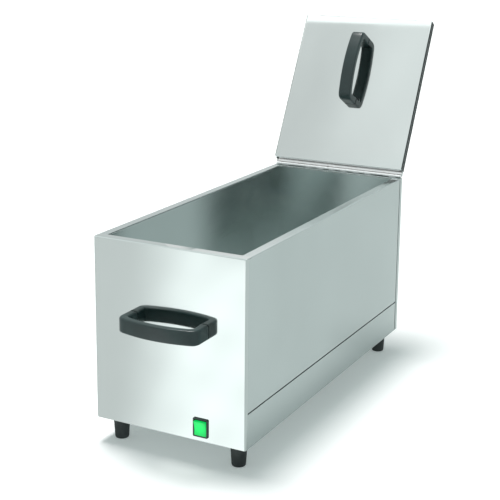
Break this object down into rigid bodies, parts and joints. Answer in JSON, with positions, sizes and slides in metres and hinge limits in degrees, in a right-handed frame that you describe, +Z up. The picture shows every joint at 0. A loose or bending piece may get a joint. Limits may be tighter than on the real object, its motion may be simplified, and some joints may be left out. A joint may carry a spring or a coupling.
{
  "type": "plate warmer",
  "caption": "Electric plate warmer: long sheet-steel trough on feet with a two-leaf folding lid, bow handles and a lit rocker switch.",
  "frame": {"origin": "under the middle of the whole object at floor level, with the lid folded open", "axes": "+X to the right seen from the front, +Y from the front panel to the rear, +Z up"},
  "size_m": [0.268, 0.8217, 0.6261],
  "materials": {
    "steel_casing": "bright polished stainless sheet",
    "steel_liner": "bright drawn stainless sheet",
    "steel_hinge": "bright stainless piano hinge",
    "black_plastic": "satin moulded black plastic",
    "green_rocker": "translucent green, lit",
    "green_lamp": "clear neon lamp",
    "foot_rubber": "matt black rubber",
    "zinc_screws": "zinc plated",
    "zinc_sheet": "aluminised sheet",
    "mineral_wool": "mineral wool board",
    "heater_sheath": "heat-tinted sheath",
    "white_ceramic": "steatite",
    "brass_stud": "plain",
    "wire_brown": "silicone insulation",
    "wire_blue": "silicone insulation",
    "wire_green": "silicone insulation"
  },
  "bodies": {
    "cabinet": {"front_panel": "steel_casing", "rear_panel": "steel_casing", "side_panel_left": "steel_casing", "side_panel_right": "steel_casing", "base_tray": "steel_casing", "liner_trough": "steel_liner", "perforated_floor": "steel_liner", "insulation_left": "mineral_wool", "insulation_right": "mineral_wool", "insulation_front": "mineral_wool", "insulation_rear": "mineral_wool", "heating_element": "heater_sheath", "heater_bracket_front": "zinc_sheet", "heater_bracket_rear": "zinc_sheet", "heater_bush_left": "white_ceramic", "heater_bush_right": "white_ceramic", "well_pan": "steel_liner", "thermostat": "white_ceramic", "thermal_cutout": "white_ceramic", "terminal_block": "white_ceramic", "earth_stud": "brass_stud", "power_inlet": "black_plastic", "wire_inlet_live": "wire_brown", "wire_inlet_neutral": "wire_blue", "wire_earth": "wire_green", "wire_switch_live": "wire_brown", "wire_switch_heater": "wire_brown", "wire_neutral": "wire_blue", "wire_thermostat_link": "wire_blue", "wire_heater_return": "wire_blue", "switch_housing": "black_plastic", "switch_lamp": "green_lamp", "foot_front_left": "foot_rubber", "foot_front_right": "foot_rubber", "foot_rear_left": "foot_rubber", "foot_rear_right": "foot_rubber", "foot_screw_front_left": "zinc_screws", "foot_screw_front_right": "zinc_screws", "foot_screw_rear_left": "zinc_screws", "foot_screw_rear_right": "zinc_screws", "front_handle": "black_plastic", "front_handle_screw_a": "zinc_screws", "front_handle_screw_b": "zinc_screws", "rear_handle": "black_plastic", "rear_handle_screw_a": "zinc_screws", "rear_handle_screw_b": "zinc_screws", "rear_hinge_fixed_leaf": "steel_hinge", "rear_hinge_pin": "steel_hinge", "lid_stop_left": "steel_casing", "lid_stop_right": "steel_casing"},
    "lid_rear": {"lid_rear_leaf": "steel_casing", "rear_hinge_moving_leaf": "steel_hinge", "fold_hinge_rear_leaf": "steel_hinge", "fold_hinge_pin": "steel_hinge"},
    "lid_front": {"lid_front_leaf": "steel_casing", "fold_hinge_front_leaf": "steel_hinge", "lid_handle": "black_plastic", "lid_handle_screw_a": "zinc_screws", "lid_handle_screw_b": "zinc_screws"},
    "rocker_button": {"rocker": "green_rocker"}
  },
  "joints": [
    {"name": "lid_hinge", "type": "hinge", "parent": "cabinet", "child": "lid_rear", "pos_m": [0, 0.26335, 0.3434], "axis": [1, 0, 0], "range_deg": [0, 117.5]},
    {"name": "lid_fold", "type": "hinge", "parent": "lid_rear", "child": "lid_front", "pos_m": [0, 0.40541, 0.62345], "axis": [1, 0, 0], "range_deg": [-180, 0]},
    {"name": "rocker_press", "type": "hinge", "parent": "cabinet", "child": "rocker_button", "pos_m": [0.057, -0.36285, 0.062], "axis": [1, 0, 0], "range_deg": [-16, 0]}
  ],
  "couplings": [
    {"joint": "lid_fold", "follows": "lid_hinge", "ratio": -1.5319}
  ]
}
